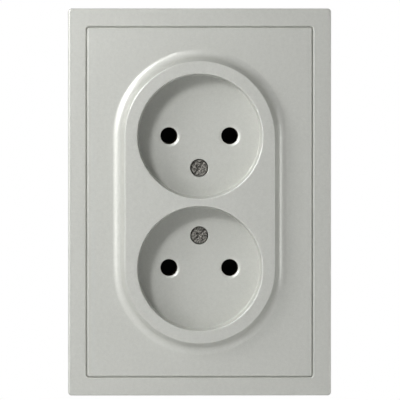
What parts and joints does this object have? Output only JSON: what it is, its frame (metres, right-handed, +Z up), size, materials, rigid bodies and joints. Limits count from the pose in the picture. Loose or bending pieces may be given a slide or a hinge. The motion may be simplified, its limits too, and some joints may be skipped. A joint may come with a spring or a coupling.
{
  "type": "double wall socket",
  "caption": "Flush wall socket: rectangular frame, cover plate and a raised oval collar around stacked round plug recesses with pin holes; contacts, strap and spreading claws behind.",
  "frame": {"origin": "centre of the box-screw slots, on the wall's surface", "axes": "+Z up along the plate's long side, +X to the right seen from the room, +Y into the wall, so the front faces -Y"},
  "size_m": [0.082, 0.0342, 0.1208],
  "materials": {
    "silver_plastic": "satin silver-grey, faint metallic flake",
    "black_plastic": "matt moulded",
    "dark_steel": "dull plated",
    "zinc_steel": "zinc plated",
    "brass": "bare stamped",
    "bronze": "darkened spring strip"
  },
  "bodies": {
    "socket": {"frame": "silver_plastic", "cover": "silver_plastic", "recess_floor_upper": "silver_plastic", "recess_floor_lower": "silver_plastic", "cover_screws": "dark_steel", "cover_nuts": "zinc_steel", "base": "black_plastic", "base_upper": "black_plastic", "base_lower": "black_plastic", "busbar_left": "brass", "busbar_right": "brass", "contact_upper_left": "bronze", "contact_upper_right": "bronze", "contact_lower_left": "bronze", "contact_lower_right": "bronze", "contact_rivets": "brass", "strap": "zinc_steel", "strap_rivets": "zinc_steel", "claw_pins": "zinc_steel"},
    "terminal_clamp_left": {"terminal_clamp_left": "zinc_steel"},
    "terminal_clamp_right": {"terminal_clamp_right": "zinc_steel"},
    "terminal_screw_left": {"terminal_screw_left": "zinc_steel"},
    "terminal_screw_right": {"terminal_screw_right": "zinc_steel"},
    "claw_left": {"claw_left": "zinc_steel"},
    "claw_right": {"claw_right": "zinc_steel"},
    "claw_screw_left": {"claw_screw_left": "zinc_steel"},
    "claw_screw_right": {"claw_screw_right": "zinc_steel"}
  },
  "joints": [
    {"name": "claw_screw_left_turn", "type": "hinge", "parent": "socket", "child": "claw_screw_left", "pos_m": [-0.0252, 0, -0.009], "axis": [0, 1, 0], "range_deg": [0, 1209.6]},
    {"name": "claw_left_spread", "type": "hinge", "parent": "socket", "child": "claw_left", "pos_m": [-0.02, 0.0028, -0.009], "axis": [0, 0, 1], "range_deg": [0, 18]},
    {"name": "terminal_clamp_left_slide", "type": "slide", "parent": "socket", "child": "terminal_clamp_left", "axis": [0, 1, 0], "range_m": [0, 0.0024]},
    {"name": "terminal_screw_left_turn", "type": "hinge", "parent": "terminal_clamp_left", "child": "terminal_screw_left", "pos_m": [-0.0093, 0.0022, 0], "axis": [0, 1, 0], "range_deg": [0, 1440]},
    {"name": "claw_screw_right_turn", "type": "hinge", "parent": "socket", "child": "claw_screw_right", "pos_m": [0.0252, 0, 0.009], "axis": [0, 1, 0], "range_deg": [0, 1209.6]},
    {"name": "claw_right_spread", "type": "hinge", "parent": "socket", "child": "claw_right", "pos_m": [0.02, 0.0028, 0.009], "axis": [0, 0, -1], "range_deg": [0, 18]},
    {"name": "terminal_clamp_right_slide", "type": "slide", "parent": "socket", "child": "terminal_clamp_right", "axis": [0, 1, 0], "range_m": [0, 0.0024]},
    {"name": "terminal_screw_right_turn", "type": "hinge", "parent": "terminal_clamp_right", "child": "terminal_screw_right", "pos_m": [0.0093, 0.0022, 0], "axis": [0, 1, 0], "range_deg": [0, 1440]}
  ],
  "couplings": [
    {"joint": "claw_left_spread", "follows": "claw_screw_left_turn", "ratio": 0.014881},
    {"joint": "terminal_screw_left_turn", "follows": "terminal_clamp_left_slide", "rad_per_m": 10472},
    {"joint": "claw_right_spread", "follows": "claw_screw_right_turn", "ratio": 0.014881},
    {"joint": "terminal_screw_right_turn", "follows": "terminal_clamp_right_slide", "rad_per_m": 10472}
  ]
}
